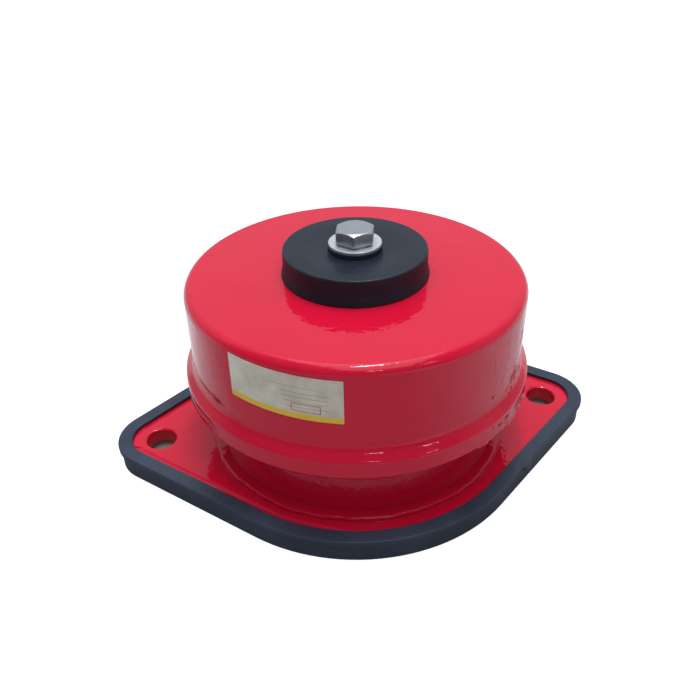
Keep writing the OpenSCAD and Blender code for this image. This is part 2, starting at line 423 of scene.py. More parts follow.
@dataclass(frozen=True)
class MouldedRubber:
    """Black rubber from a steel mould: satin, a little blue from bloom and from painted reflection of cool
    light, with pale dust and rubbed spots.
    """

    name: str
    colour: str
    bloom_colour: str
    roughness: Span = (0.28, 0.38)
    side_roughness: float = 0.2
    side_turn: Span = (0.9, 0.3)
    ior: float = 1.4
    cloud: float = 22 * MM
    veil_span: Span = (0.42, 0.75)
    veil_level: float = 0.35
    # The mould's own grain is near 0.2 mm; it is drawn coarser to show at all.
    grain: float = 0.8 * MM
    grain_depth: float = 0.02 * MM
    sink: float = 9 * MM
    sink_depth: float = 0.08 * MM
    scuff: float = 14 * MM
    scuff_share: Span = (0.02, 0.05)
    scuff_level: float = 0.5

    def material(self) -> bpy.types.Material:
        """Soft reflections break up where it is dusty or rubbed; upright sides keep a duller skin.

        Returns:
            The material.
        """
        made, tree = new_material(self.name)
        place = add_node(tree, "TexCoord", {}).outputs["Object"]
        cloud, grain, sink = (
            add_node(tree, "TexNoise", {"Vector": place, "Scale": per_metre(size), "Detail": detail})
            for size, detail in ((self.cloud, 5.0), (self.grain, 2.0), (self.sink, 1.0))
        )
        speck = add_node(tree, "TexVoronoi", {"Vector": place, "Scale": per_metre(self.scuff)})
        spot = add_node(tree, "MapRange", {
            "Value": speck.outputs["Distance"],
            "From Min": self.scuff_share[0], "From Max": self.scuff_share[1],
            "To Min": self.scuff_level, "To Max": 0.0,
        })
        veil = add_node(tree, "MapRange", {
            "Value": cloud.outputs["Fac"], "From Min": self.veil_span[0], "From Max": self.veil_span[1],
            "To Min": 0.0, "To Max": self.veil_level,
        })
        dusty = add_node(tree, "Math", {0: veil.outputs[0], 1: spot.outputs[0]}, operation="MAXIMUM")
        colour = add_node(tree, "Mix", {
            0: dusty.outputs[0], 6: linear(self.colour), 7: linear(self.bloom_colour),
        }, data_type="RGBA")
        rough = add_node(tree, "MapRange", {
            "Value": cloud.outputs["Fac"], "From Min": NOISE_SPAN[0], "From Max": NOISE_SPAN[1],
            "To Min": self.roughness[0], "To Max": self.roughness[1],
        })
        facing = add_node(tree, "SeparateXYZ", {0: add_node(tree, "NewGeometry", {}).outputs["Normal"]})
        upright = add_node(tree, "MapRange", {
            "Value": facing.outputs["Z"], "From Min": self.side_turn[0], "From Max": self.side_turn[1],
            "To Min": 0.0, "To Max": self.side_roughness,
        })
        rough = add_node(tree, "Math", {0: rough.outputs[0], 1: upright.outputs[0]}, operation="ADD")
        bump = add_node(tree, "Bump", {"Height": sink.outputs["Fac"], "Distance": self.sink_depth})
        bump = add_node(tree, "Bump", {
            "Height": grain.outputs["Fac"], "Distance": self.grain_depth, "Normal": bump.outputs[0],
        })
        show(tree, add_node(tree, "BsdfPrincipled", {
            "Base Color": colour.outputs[2], "Roughness": rough.outputs[0], "IOR": self.ior,
            "Normal": bump.outputs[0],
        }))
        return made


# The pad's rubber is clean and deep. The boot's copy is lighter and bluer: dust and wax bloom, and painted
# sheen for the pale floor that it mirrors and the light on its side.
CLEAN_RUBBER = MouldedRubber("moulded_black_rubber", "151C28", "2A3548")
# Lighter copy of the same rubber: part dust, part painted sheen.
DUST_AND_SHEEN_RUBBER = MouldedRubber("moulded_rubber_dust_and_sheen", "2E3746", "485469")


@dataclass(frozen=True)
class PlatedSteel:
    """Steel as a metal finish: a base tone, a second tone in blotches, and the marks of how it was made."""

    name: str
    colour: str
    blotch_colour: str
    roughness: Span
    blotch: float
    grain: float
    grain_depth: float
    stretch: float = 1.0
    blotch_span: Span = (0.35, 0.68)

    def material(self) -> bpy.types.Material:
        """Blurred reflections that change from blotch to blotch, over a fine grain.

        Returns:
            The material.
        """
        made, tree = new_material(self.name)
        place = add_node(tree, "TexCoord", {}).outputs["Object"]
        drawn = add_node(tree, "Mapping", {"Vector": place, "Scale": (1.0, 1.0, self.stretch)})
        blotch, grain = (
            add_node(tree, "TexNoise", {"Vector": where, "Scale": per_metre(size), "Detail": detail})
            for where, size, detail in ((place, self.blotch, 4.0), (drawn.outputs[0], self.grain, 3.0))
        )
        share = add_node(tree, "MapRange", {
            "Value": blotch.outputs["Fac"],
            "From Min": self.blotch_span[0], "From Max": self.blotch_span[1], "To Min": 0.0, "To Max": 1.0,
        })
        colour = add_node(tree, "Mix", {
            0: share.outputs[0], 6: linear(self.colour), 7: linear(self.blotch_colour),
        }, data_type="RGBA")
        rough = add_node(tree, "MapRange", {
            "Value": share.outputs[0], "To Min": self.roughness[0], "To Max": self.roughness[1],
        })
        bump = add_node(tree, "Bump", {"Height": grain.outputs["Fac"], "Distance": self.grain_depth})
        show(tree, add_node(tree, "BsdfPrincipled", {
            "Base Color": colour.outputs[2], "Metallic": 1.0, "Roughness": rough.outputs[0],
            "Normal": bump.outputs[0],
        }))
        return made


# Bright zinc over a forged head: pale, a little blue, and cloudy from the plating bath.
BRIGHT_ZINC = PlatedSteel("bright_zinc_plate", "C6CBCE", "AEB4B8", (0.3, 0.42),
                          blotch=4 * MM, grain=0.6 * MM, grain_depth=0.004 * MM)
# Zinc on a punched washer, tumbled dull in the barrel: an even pale grey sheen.
DULL_ZINC = PlatedSteel("barrel_zinc_plate", "DDE3E7", "CBD2D7", (0.46, 0.58),
                        blotch=3 * MM, grain=0.5 * MM, grain_depth=0.006 * MM)
# Drawn wire and plain rings under a film of oil: darker, with a brown cast where the oil has set.
OILED_WIRE = PlatedSteel("oiled_drawn_steel", "77797B", "5B534A", (0.28, 0.45),
                         blotch=14 * MM, grain=0.7 * MM, grain_depth=0.02 * MM, stretch=0.2)


@dataclass(frozen=True)
class PrintedRule:
    """A straight box of ink on the label, in metres from the label's lower left corner."""

    left: float
    right: float
    bottom: float
    top: float


@dataclass(frozen=True)
class Ink:
    """A printing ink: its colour and how fully it covers the paper."""

    colour: str
    cover: float


@dataclass(frozen=True)
class VarnishedPaper:
    """Cream paper with a thin varnish: a yellow band along its foot, grey rules and an empty red frame."""

    width: float
    height: float
    paper: str = "DCD8C9"
    stain: str = "AFA595"
    yellow: Ink = Ink("E0BC14", 0.95)
    grey: Ink = Ink("6E6C68", 0.7)
    red: Ink = Ink("B9303C", 0.85)
    roughness: Span = (0.32, 0.55)
    ior: float = 1.45
    # The band's ink runs a little past the sheet's edges.
    bleed: float = 1 * MM
    band: float = 2.6 * MM
    rule: float = 0.22 * MM
    rule_left: float = 24.6 * MM
    rule_right: float = 43.2 * MM
    rule_heights: tuple[float, ...] = (12.0 * MM, 10.0 * MM, 7.8 * MM, 5.4 * MM)
    top_rule: tuple[float, float, float] = (18.5 * MM, 38.6 * MM, 14.6 * MM)
    frame_box: tuple[float, float, float, float] = (28.3 * MM, 40.2 * MM, 3.5 * MM, 7.3 * MM)
    frame_line: float = 0.38 * MM
    fibre: float = 0.7 * MM
    fibre_depth: float = 0.015 * MM
    cloud: float = 9 * MM
    age_span: Span = (0.4, 0.75)
    age_level: float = 0.6
    right_end_darkening: float = 0.4

    def rules(self) -> list[PrintedRule]:
        """Grey rules: one high on the sheet, and one for each row below it."""
        rows = [self.top_rule] + [(self.rule_left, self.rule_right, up) for up in self.rule_heights]
        return [PrintedRule(a, b, up, up + self.rule) for a, b, up in rows]

    def frame_sides(self) -> list[PrintedRule]:
        """Draw the empty red frame.

        Returns:
            Its four sides.
        """
        left, right, bottom, top = self.frame_box
        line = self.frame_line
        return [
            PrintedRule(left, right, bottom, bottom + line),
            PrintedRule(left, right, top - line, top),
            PrintedRule(left, left + line, bottom, top),
            PrintedRule(right - line, right, bottom, top),
        ]

    def ink(self, tree: bpy.types.NodeTree, across: bpy.types.NodeSocket, up: bpy.types.NodeSocket,
            marks: Sequence[PrintedRule]) -> bpy.types.NodeSocket:
        """Build a mask that is 1 inside the marks.

        Args:
            tree: the material's node tree.
            across: distance from the label's left edge.
            up: distance from the label's lower edge.
            marks: boxes of ink.

        Returns:
            The mask's output.
        """
        total: Optional[bpy.types.NodeSocket] = None
        for mark in marks:
            inside = []
            for place, low, high in ((across, mark.left, mark.right), (up, mark.bottom, mark.top)):
                inside.append(add_node(tree, "Math", {
                    0: place, 1: (low + high) / 2, 2: (high - low) / 2,
                }, operation="COMPARE").outputs[0])
            box = add_node(tree, "Math", {0: inside[0], 1: inside[1]}, operation="MULTIPLY").outputs[0]
            if total is not None:
                box = add_node(tree, "Math", {0: total, 1: box}, operation="MAXIMUM").outputs[0]
            total = box
        return total

    def material(self) -> bpy.types.Material:
        """Matt fibres under a faint gloss, aged unevenly and darker toward the right end.

        Returns:
            The material.
        """
        made, tree = new_material("varnished_paper")
        sheet = add_node(tree, "SeparateXYZ", {"Vector": add_node(tree, "TexCoord", {}).outputs["UV"]})
        place = add_node(tree, "TexCoord", {}).outputs["Object"]
        across, up = (
            add_node(tree, "Math", {0: sheet.outputs[side], 1: length}, operation="MULTIPLY").outputs[0]
            for side, length in (("X", self.width), ("Y", self.height))
        )
        cloud, fibre = (
            add_node(tree, "TexNoise", {"Vector": place, "Scale": per_metre(size), "Detail": detail})
            for size, detail in ((self.cloud, 5.0), (self.fibre, 3.0))
        )
        age = add_node(tree, "MapRange", {
            "Value": cloud.outputs["Fac"], "From Min": self.age_span[0], "From Max": self.age_span[1],
            "To Min": 0.0, "To Max": self.age_level,
        })
        # The stain colour grows toward the label's right end.
        age = add_node(tree, "Math", {
            0: sheet.outputs["X"], 1: self.right_end_darkening, 2: age.outputs[0],
        }, operation="MULTIPLY_ADD")
        colour = add_node(tree, "Mix", {
            0: age.outputs[0], 6: linear(self.paper), 7: linear(self.stain),
        }, data_type="RGBA").outputs[2]
        foot = [PrintedRule(-self.bleed, self.width + self.bleed, -self.bleed, self.band)]
        for marks, ink in ((foot, self.yellow), (self.rules(), self.grey), (self.frame_sides(), self.red)):
            mask = self.ink(tree, across, up, marks)
            share = add_node(tree, "Math", {0: mask, 1: ink.cover}, operation="MULTIPLY").outputs[0]
            colour = add_node(tree, "Mix", {
                0: share, 6: colour, 7: linear(ink.colour),
            }, data_type="RGBA").outputs[2]
        rough = add_node(tree, "MapRange", {
            "Value": fibre.outputs["Fac"], "To Min": self.roughness[0], "To Max": self.roughness[1],
        })
        bump = add_node(tree, "Bump", {"Height": fibre.outputs["Fac"], "Distance": self.fibre_depth})
        show(tree, add_node(tree, "BsdfPrincipled", {
            "Base Color": colour, "Roughness": rough.outputs[0], "IOR": self.ior, "Normal": bump.outputs[0],
        }))
        return made


@dataclass(frozen=True)
class Finishes:
    """The part's materials, made once and shared by its pieces."""

    paint: bpy.types.Material
    rubber: bpy.types.Material
    dust_and_sheen_rubber: bpy.types.Material
    zinc: bpy.types.Material
    dull_zinc: bpy.types.Material
    steel: bpy.types.Material

    @classmethod
    def made(cls) -> "Finishes":
        """Make every shared material."""
        return cls(SprayedEnamel().material(), CLEAN_RUBBER.material(), DUST_AND_SHEEN_RUBBER.material(),
                   BRIGHT_ZINC.material(), DULL_ZINC.material(), OILED_WIRE.material())


# Sub-assemblies


@dataclass
class DiamondOutline:
    """The base's outline: round ends about the bolt holes and a round middle, joined by their tangents."""

    hole_x: float
    middle_r: float
    end_r: float
    arc_step: float = math.radians(3)
    side_step: float = 1.0 * MM

    @classmethod
    def from_frame(cls) -> "DiamondOutline":
        """Read the outline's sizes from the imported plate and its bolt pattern.

        Returns:
            The outline.
        """
        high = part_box("base_plate")[1]
        bolts = next(m for m in frame["record"]["mounts"] if m["name"] == "floor_bolts")
        hole_x = bolts["dims"]["spacing_x_mm"] / 2 * MM
        return cls(hole_x, high.y, high.x - hole_x)

    @property
    def lean(self) -> float:
        """Direction that the straight side on the right faces."""
        return math.acos((self.middle_r - self.end_r) / self.hole_x)

    @property
    def side_length(self) -> float:
        """Length of one straight side."""
        return self.hole_x * math.sin(self.lean)

    def frame_points(self) -> tuple[np.ndarray, np.ndarray]:
        """Sample the plate's edge.

        Returns:
            Points of the edge and the outward direction at each.
        """
        lean = self.lean
        cuts = math.ceil(self.side_length / self.side_step)
        points: list[tuple[float, float]] = []
        normals: list[tuple[float, float]] = []
        arcs = ((self.hole_x, self.end_r, -lean, lean), (0.0, self.middle_r, lean, math.pi - lean),
                (-self.hole_x, self.end_r, math.pi - lean, math.pi + lean),
                (0.0, self.middle_r, math.pi + lean, 2 * math.pi - lean))
        for i, (x, radius, start, end) in enumerate(arcs):
            steps = math.ceil((end - start) / self.arc_step)
            for angle in np.linspace(start, end, steps + 1):
                points.append((x + radius * math.cos(angle), radius * math.sin(angle)))
                normals.append((math.cos(angle), math.sin(angle)))
            next_x, next_r = arcs[(i + 1) % len(arcs)][:2]
            facing = (math.cos(end), math.sin(end))
            from_x, from_y = x + radius * facing[0], radius * facing[1]
            to_x, to_y = next_x + next_r * facing[0], next_r * facing[1]
            for share in np.linspace(0, 1, cuts + 1)[1:-1]:
                points.append((from_x + (to_x - from_x) * share, from_y + (to_y - from_y) * share))
                normals.append(facing)
        return np.array(points), np.array(normals)

    def rings(self, shell: Shell, profile: np.ndarray, swell: Optional[Swell] = None) -> list[Ring]:
        """Add one ring round the outline for each (offset, height) point of a section.

        Args:
            shell: mesh that takes the rings.
            profile: the section.
            swell: function of (points, normals, offset, height) that returns extra offset.

        Returns:
            The rings, in the section's order.
        """
        points, normals = self.frame_points()
        made = []
        for offset, height in profile:
            extra = swell(points, normals, offset, height) if swell else 0.0
            moved = points + normals * np.reshape(offset + extra, (-1, 1))
            made.append(shell.ring(np.column_stack((moved, np.full(len(moved), height)))))
        return made

    def hole_rings(self, shell: Shell, profile: np.ndarray, segments: int = 64) -> list[list[Ring]]:
        """Add rings round both bolt holes for each (radius, height) point of a section.

        Args:
            shell: mesh that takes the rings.
            profile: the section.
            segments: number of points round a hole.

        Returns:
            The left hole's rings, then the right hole's.
        """
        angles = full_turn(segments)
        both = []
        for side in (-1, 1):
            rings = []
            for radius, height in profile:
                points = turn_points(radius, height, angles)
                points[:, 0] += side * self.hole_x
                rings.append(shell.ring(points))
            both.append(rings)
        return both


@dataclass
class DiamondPlate:
    """The red base plate, cut from sheet, with its edges and holes softened by the paint."""

    finishes: Finishes
    diamond: DiamondOutline
    hole_r: float = 7 * MM
    hole_edge: float = 1.3 * MM
    edge_r: float = 0.8 * MM
    border: float = 2 * MM
    step_in: float = 6.4 * MM
    step_run: float = 1.3 * MM
    step_h: float = 0.7 * MM
    step_r: float = 0.8 * MM
    step_end: float = 0.56 * MM
    step_tuck: float = 3.8 * MM
    step_side: tuple[float, float] = (-0.66, -0.75)
    step_turn: Span = (0.8, 0.95)

    def tuck(self, points: np.ndarray, normals: np.ndarray, offset: float, height: float) -> np.ndarray:
        """Move the raised face's edge out under the boot's lip, but for the near left side.

        Args:
            points: points of the plate's edge.
            normals: outward direction at each point.
            offset: offset of the ring.
            height: height of the ring; not used.

        Returns:
            The extra offset at each point.
        """
        if -offset < self.step_in - 2 * self.step_run:
            return np.zeros(len(points))
        start, end = self.step_turn
        clear = np.clip((normals @ np.array(self.step_side) - start) / (end - start), 0, 1)
        return self.step_tuck * (1 - clear * clear * (3 - 2 * clear))

    def build(self) -> list[bpy.types.Object]:
        """Make the plate.

        Returns:
            The new piece.
        """
        low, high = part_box("base_plate")
        border, edge, hole_edge = self.border, self.edge_r, self.hole_edge
        shell = Shell()
        rim = self.diamond.rings(shell, outline([
            (-border, low.z, 0), (0, low.z, edge), (0, high.z - self.step_h, edge),
            (self.step_run - self.step_in, high.z - self.step_h, 0), (-self.step_in, high.z, self.step_r),
            (-self.step_in - self.step_end, high.z, 0),
        ], closed=False, longest=1.2 * MM), self.tuck)
        shell.skin(rim)
        holes = self.diamond.hole_rings(shell, outline(
            [(self.hole_r + border, low.z, 0), (self.hole_r, low.z, edge), (self.hole_r, high.z, hole_edge),
             (self.hole_r + border, high.z, 0)], closed=False, steps=8))
        for rings in holes:
            shell.skin(rings)
        shell.flat(rim[0], *(rings[0] for rings in holes))
        shell.flat(rim[-1], *(rings[-1] for rings in holes))
        plate = shell.piece("painted_plate")
        return [seat(plate, Body.BASE, Slot.PAINT, self.finishes.paint, "base_plate")]


@dataclass
class RubberBoot:
    """The moulded boot: a tray under the plate, with a lip over its edge, a brim and a tab of flash."""

    finishes: Finishes
    diamond: DiamondOutline
    brim: float = 1 * MM
    brim_t: float = 2.5 * MM
    lip_over: float = 2.8 * MM
    plate_gap: float = 0.2 * MM
    hole_r: float = 11 * MM
    edge_r: float = 0.6 * MM
    foot_in: float = 2.4 * MM
    tab_out: float = 1.1 * MM
    tab_along: float = 20.5 * MM
    tab_half: float = 3.4 * MM

    def tab(self, points: np.ndarray, normals: np.ndarray, offset: float, height: float) -> np.ndarray:
        """Extra offset of the flash tab on the brim's front right side.

        Args:
            points: points of the plate's edge.
            normals: outward direction at each point.
            offset: offset of the ring.
            height: height of the ring.

        Returns:
            The extra offset at each point.
        """
        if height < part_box("base_boot")[1].z - self.brim_t or offset < self.brim:
            return np.zeros(len(points))
        lean = -self.diamond.lean
        along = points @ np.array((-math.sin(lean), math.cos(lean)))
        on_side = np.isclose(normals @ np.array((math.cos(lean), math.sin(lean))), 1)
        return np.where(on_side & (np.abs(along - self.tab_along) < self.tab_half), self.tab_out, 0.0)

    def build(self) -> list[bpy.types.Object]:
        """Make the boot.

        Returns:
            The new piece.
        """
        low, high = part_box("base_boot")
        plate_low, plate_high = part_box("base_plate")
        brim_out = high.y - plate_high.y
        side = brim_out - self.brim
        brim_z = high.z - self.brim_t
        edge = self.edge_r
        shell = Shell()
        outside = self.diamond.rings(shell, outline([
            (side - self.foot_in, low.z, 0),
            (side, low.z, edge),
            (side, brim_z, edge / 2),
            (brim_out, brim_z, edge / 2),
            (brim_out, high.z, edge),
            (-self.lip_over, high.z, edge),
            (-self.lip_over, plate_high.z, 0),
            (self.plate_gap, plate_high.z, 0),
            (self.plate_gap, plate_low.z, 0),
        ], closed=False, longest=2 * MM), self.tab)
        shell.skin(outside)
        holes = self.diamond.hole_rings(shell, outline(
            [(self.hole_r, low.z, 0), (self.hole_r, plate_low.z, 0)], closed=False))
        for rings in holes:
            shell.skin(rings)
        shell.flat(outside[0], *(rings[0] for rings in holes))
        shell.flat(outside[-1], *(rings[-1] for rings in holes))
        boot = shell.piece("rubber_boot")
        return [seat(boot, Body.BASE, Slot.RUBBER, self.finishes.dust_and_sheen_rubber, "base_boot")]


@dataclass
class LowerSleeve:
    """The sleeve that stands on the plate, with its turned-out rim and the painted weld round its foot."""

    finishes: Finishes
    wall: float = 4 * MM
    flare: float = 2 * MM
    flare_h: float = 18 * MM
    flare_bend: float = 20 * MM
    rim_bend: float = 1.5 * MM
    rim_edge: float = 0.4 * MM
    weld_leg: float = 3.5 * MM
    toe_out: float = 1.2 * MM
    bead_h: float = 2 * MM
    bead_bend: float = 1.3 * MM
    bead_rise: float = 0.8 * MM
    rooted: float = 0.4 * MM
    swell: float = 0.2 * MM
    # Waves round the weld: how many, how strong, and the angle that they start from.
    swells: tuple[tuple[int, float, float], ...] = ((11, 1.0, 0.0), (29, 0.7, 2.0), (53, 0.5, 1.0))
    segments: int = 256

    def build(self) -> list[bpy.types.Object]:
        """Make the sleeve and its weld.

        Returns:
            The new pieces.
        """
        low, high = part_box("lower_sleeve")
        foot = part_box("sleeve_weld")[1].x - self.weld_leg
        outer = foot - self.flare
        bore = outer - self.wall
        under = high.z - self.wall
        sleeve = Shell()
        sleeve.turned(outline([
            (bore, low.z, 0), (foot, low.z, 0), (outer, low.z + self.flare_h, self.flare_bend),
            (outer, under, self.rim_bend), (high.x, under, self.rim_edge), (high.x, high.z, self.rim_edge),
            (bore, high.z, self.rim_bend + self.wall),
        ], closed=True), full_turn(self.segments))
        weld = Shell()
        toe = foot + self.weld_leg + self.toe_out
        weld.turned(outline([
            (outer, low.z - self.rooted, 0), (toe, low.z - self.rooted, 0),
            (toe, low.z + self.bead_h, self.bead_bend), (outer, low.z + self.bead_h + self.bead_rise, 0),
        ], closed=True, steps=10, longest=1.5 * MM), full_turn(2 * self.segments), self.uneven)
        made = sleeve.piece("painted_sleeve"), weld.piece("painted_weld")
        nodes = "lower_sleeve", "sleeve_weld"
        return [
            seat(piece, Body.BASE, Slot.PAINT, self.finishes.paint, node) for piece, node in zip(made, nodes)
        ]

    def uneven(self, radius: float, height: float, angles: np.ndarray) -> tuple[np.ndarray, np.ndarray]:
        """Let the weld swell and shrink a little, as a bead does that the paint has filled and smoothed.

        Args:
            radius: radius of a point of the section.
            height: its height.
            angles: angles round the axis.

        Returns:
            The moved radius and height at each angle.
        """
        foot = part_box("sleeve_weld")[1].x - self.weld_leg
        share = np.clip((radius - foot) / self.weld_leg, 0, 1)
        slow = sum(level * np.sin(count * angles + start) for count, level, start in self.swells)
        return radius + self.swell * share * slow, np.full(len(angles), height)


@dataclass
class CoilSpring:
    """The load spring: drawn wire with a closed coil, ground flat, at each end."""

    finishes: Finishes
    wire: float = 12 * MM
    mean_d: float = 104 * MM
    coils: float = 4.0
    coil_gap: float = 0.6 * MM
    sides: int = 24
    rings_per_coil: int = 72

    def wire_height(self, turn: float, foot: float, head: float) -> float:
        """Height of the wire's centre after so many turns.

        Args:
            turn: turns from the lower end.
            foot: height of the lower ground face.
            head: height of the upper ground face.

        Returns:
            The height in metres.
        """
        rise = self.wire + self.coil_gap
        pitch = (head - foot - 2 * rise) / (self.coils - 2)
        ease = pitch / rise
        if turn < 1:
            return foot + rise * turn ** ease
        if turn > self.coils - 1:
            return head - rise * (self.coils - turn) ** ease
        return foot + rise + pitch * (turn - 1)

    def build(self) -> list[bpy.types.Object]:
        """Make the spring.

        Returns:
            The new piece.
        """
        low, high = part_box("coil_spring")
        foot, head = low.z, high.z
        round_wire = full_turn(self.sides)
        shell = Shell()
        rings = []
        for turn in np.linspace(0, self.coils, round(self.coils * self.rings_per_coil) + 1):
            radius = (self.mean_d + self.wire * np.cos(round_wire)) / 2
            height = self.wire_height(turn, foot, head) + self.wire / 2 * np.sin(round_wire)
            angle = np.full(self.sides, 2 * math.pi * turn)
            rings.append(shell.ring(turn_points(radius, np.clip(height, foot, head), angle)))
        shell.skin(rings)
        shell.flat(rings[0])
        shell.flat(rings[-1])
        wire = shell.piece("coil_spring_wire")
        spring = seat(wire, Body.BASE, Slot.STEEL, self.finishes.steel, "coil_spring")
        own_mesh(spring)
        return [spring]


@dataclass(frozen=True)
class SagPatch:
    """A patch of the cap where the wet paint sagged: where it lies and how its lumps are shaped.

    Angles are degrees round the axis, and heights and lengths millimetres. Each pair is the smallest and
    the largest.
    """

    count: int
    angle: Span
    height: Span
    width: Span
    length: Span
    depth: Span


@dataclass(frozen=True)
class PaintLump:
    """One lump, pit or gash in the cap's paint, in degrees and millimetres; a pit has a negative depth."""

    angle: float
    height: float
    width: float
    length: float
    depth: float


@dataclass
class DrawnCap:
    """The drawn cup: a flat top with a rounded edge, and a mouth swaged out into a lip and rolled in."""

    finishes: Finishes
    sheet: float = 3 * MM
    edge_r: float = 4 * MM
    lip_step: float = 4 * MM
    lip_h: float = 8 * MM
    shoulder_h: float = 4 * MM
    joggle_r: float = 2 * MM
    neck_r: float = 5 * MM
    roll_in: float = 4.5 * MM
    hole_r: float = 5.5 * MM
    wave_depth: float = 0.07 * MM
    # Waves round the wall: how many, how far they lean from foot to top, and how strong.
    waves: tuple[tuple[int, int, float], ...] = ((3, 4, 1.0), (7, -3, 0.6), (13, 6, 0.4))
    # A lump this near the mouth hangs over its edge, and moves this much of the lip.
    drip_reach: float = 2 * MM
    drip_depth: float = 1 * MM
    seed: int = 7
    patches: tuple[SagPatch, ...] = (
        SagPatch(8, (-54, -36), (64, 82), (1.0, 2.2), (4, 8), (0.02, 0.06)),
        SagPatch(16, (-54, -26), (58, 76), (0.35, 0.6), (0.6, 1.5), (-0.32, 0.16)),
        SagPatch(14, (-42, -26), (54.5, 58), (0.8, 1.7), (0.35, 0.5), (-0.5, -0.25)),
        SagPatch(16, (-56, -34), (45, 50), (0.45, 0.9), (0.4, 0.8), (-0.45, 0.25)),
        SagPatch(20, (-64, -30), (42.6, 44), (0.8, 1.7), (0.9, 1.5), (0.18, 0.42)),
    )
    marks: tuple[PaintLump, ...] = (
        PaintLump(-31.3, 77.4, 0.7, 1.8, -0.45),
        PaintLump(-51.8, 77.6, 0.5, 1.8, 0.2),
        PaintLump(-43.0, 74.5, 0.5, 2.0, 0.2),
        PaintLump(-51.6, 60.3, 0.7, 0.7, -0.4),
        PaintLump(-37.0, 57.6, 1.6, 0.6, -0.5),
        PaintLump(-33.5, 58.4, 1.8, 0.7, -0.5),
        PaintLump(-29.5, 58.2, 2.4, 0.5, -0.4),
        PaintLump(-50.6, 47.3, 1.3, 0.6, -0.5),
        PaintLump(-46.5, 47.9, 1.6, 0.7, -0.55),
        PaintLump(-38.5, 47.6, 3.0, 0.6, -0.45),
        PaintLump(-158.5, 58.7, 9.0, 0.55, -0.5),
        PaintLump(-149.6, 58.1, 3.6, 0.9, -0.6),
        PaintLump(-158.0, 47.6, 8.0, 0.6, -0.6),
    )
    sag_sectors: tuple[Span, ...] = ((-68, -20), (184, 220))
    sag_top: float = 62 * MM
    fine_step: float = 0.42 * MM
    plain_step: float = 2.2 * MM
    lumps: list[PaintLump] = field(default_factory=list)
    lip_r: float = field(init=False)
    wall_r: float = field(init=False)
    bottom: float = field(init=False)
    lip_top: float = field(init=False)
    wall_bottom: float = field(init=False)
    top: float = field(init=False)

    def __post_init__(self) -> None:
        """Read the cap's place from the frame and scatter the sagged paint."""
        low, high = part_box("cap")
        self.lip_r, self.bottom, self.top = high.x, low.z, high.z
        self.wall_r = self.lip_r - self.lip_step
        self.lip_top = self.bottom + self.lip_h
        self.wall_bottom = self.lip_top + self.shoulder_h
        self.lumps.extend(self.marks)
        draw = np.random.default_rng(self.seed)
        for patch in self.patches:
            for _ in range(patch.count):
                self.lumps.append(PaintLump(
                    angle=draw.uniform(*patch.angle), height=draw.uniform(*patch.height),
                    width=draw.uniform(*patch.width), length=draw.uniform(*patch.length),
                    depth=draw.uniform(*patch.depth),
                ))

    def angles(self) -> np.ndarray:
        """Space the cap's columns, close together where the paint sagged.

        Returns:
            The columns' angles.
        """
        edges = sorted(math.radians(edge % 360) for sector in self.sag_sectors for edge in sector)
        made: list[float] = []
        for start, end in zip(edges, edges[1:] + [edges[0] + 2 * math.pi]):
            middle = math.degrees((start + end) / 2)
            fine = any((middle - low) % 360 < high - low for low, high in self.sag_sectors)
            step = self.fine_step if fine else self.plain_step
            count = math.ceil((end - start) * self.wall_r / step)
            made.extend(np.linspace(start, end, count, endpoint=False))
        return np.array(made)

    def profile(self) -> np.ndarray:
        """Draw the cap's section, from the bolt hole out along the inside and back over the outside.

        Returns:
            (radius, height) points of the section.
        """
        bore, lip_bore = self.wall_r - self.sheet, self.lip_r - self.sheet
        ceiling = self.top - self.sheet
        shift = self.sheet * math.tan(math.atan(self.lip_step / self.shoulder_h) / 2)
        rolled = self.bottom + self.sheet / 2
        inside = outline([
            (self.hole_r, ceiling, 0),
            (bore, ceiling, self.edge_r - self.sheet),
            (bore, self.wall_bottom - shift, self.neck_r + self.sheet),
            (lip_bore, self.lip_top - shift, self.joggle_r / 2),
            (lip_bore, rolled, 0),
            (self.lip_r - self.roll_in, rolled, 0),
        ], closed=False, longest=9 * MM)
        lip = outline([
            (self.lip_r - self.roll_in, self.bottom, 0),
            (self.lip_r, self.bottom, self.sheet / 4),
            (self.lip_r, self.lip_top, self.joggle_r),
            (self.wall_r, self.wall_bottom, self.neck_r),
            (self.wall_r, self.sag_top, 0),
        ], closed=False, steps=8, longest=0.35 * MM)
        wall = outline([
            (self.wall_r, self.sag_top, 0),
            (self.wall_r, self.top, self.edge_r),
            (self.wall_r - 2 * self.edge_r, self.top, 0),
        ], closed=False, steps=8, longest=0.6 * MM)
        flat = outline([
            (self.wall_r - 2 * self.edge_r, self.top, 0), (self.hole_r, self.top, 0),
        ], closed=False, longest=7 * MM)
        return np.concatenate((inside, lip, wall[1:], flat[1:]))

    def wave(self, height: float, angles: np.ndarray) -> np.ndarray:
        """Slow waviness that pressing leaves in the wall.

        Args:
            height: height on the wall.
            angles: angles round the axis.

        Returns:
            Outward movement at each angle.
        """
        up = (height - self.bottom) / (self.top - self.bottom)
        slow = sum(level * np.sin(count * angles + lean * up) for count, lean, level in self.waves)
        return self.wave_depth * slow

    def shaped(self, radius: float, height: float, angles: np.ndarray) -> tuple[np.ndarray, np.ndarray]:
        """Add the waviness and the sagged paint to a ring of the outside.

        Args:
            radius: radius of the ring.
            height: its height.
            angles: angles round the axis.

        Returns:
            The moved radius and height at each angle.
        """
        up = np.full(len(angles), height)
        if radius < self.wall_r - self.edge_r / 2:
            return np.full(len(angles), radius), up
        fade = min(1.0, max(0.0, (self.top - height) / self.edge_r))
        grow = self.wave(height, angles) * fade
        hang = np.zeros(len(angles))
        for lump in self.lumps:
            across = hump(angle_between(angles, math.radians(lump.angle)) * radius, lump.width * MM)
            along = hump(np.array(height - lump.height * MM), lump.length * MM)
            grow = grow + lump.depth * MM * across * along
            drips = lump.height * MM < self.bottom + self.drip_reach
            if drips and height < self.bottom + self.drip_depth:
                hang = hang + lump.depth * MM * across
        return radius + grow, up - hang

